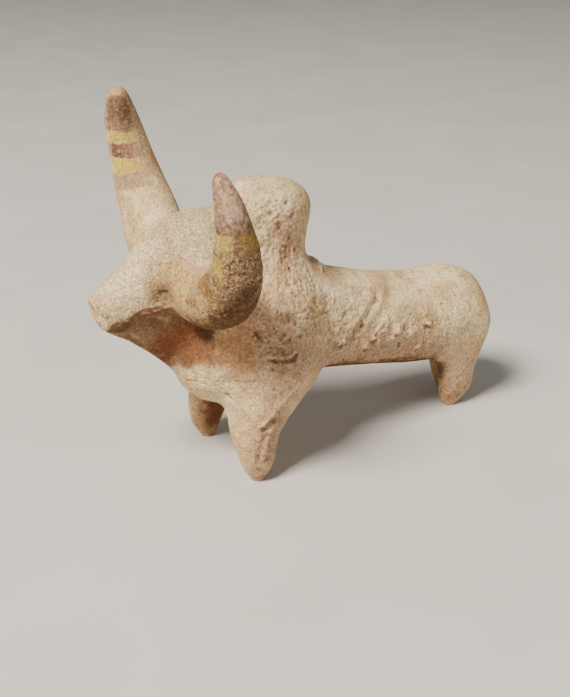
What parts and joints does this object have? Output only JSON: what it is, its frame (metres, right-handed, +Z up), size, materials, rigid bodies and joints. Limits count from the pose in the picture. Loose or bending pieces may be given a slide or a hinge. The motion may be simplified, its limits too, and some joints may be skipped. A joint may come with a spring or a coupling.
{
  "type": "zebu bull figurine",
  "caption": "Hand-modelled terracotta zebu bull with a tall hump, a disc muzzle and upswept banded horns, standing on short cone legs with flat-worn feet.",
  "frame": {"origin": "middle of the figurine's box on the ground plane under its feet", "axes": "+Z up, -Y towards the muzzle, +X towards the animal's left side"},
  "size_m": [0.062, 0.1028, 0.0832],
  "materials": {
    "terracotta": "matt worn fired clay, cream buff with a pinkish body and traces of yellow, purple-brown and dark brown paint on the horns"
  },
  "bodies": {
    "root": {"zebu_bull": "terracotta"}
  },
  "joints": []
}
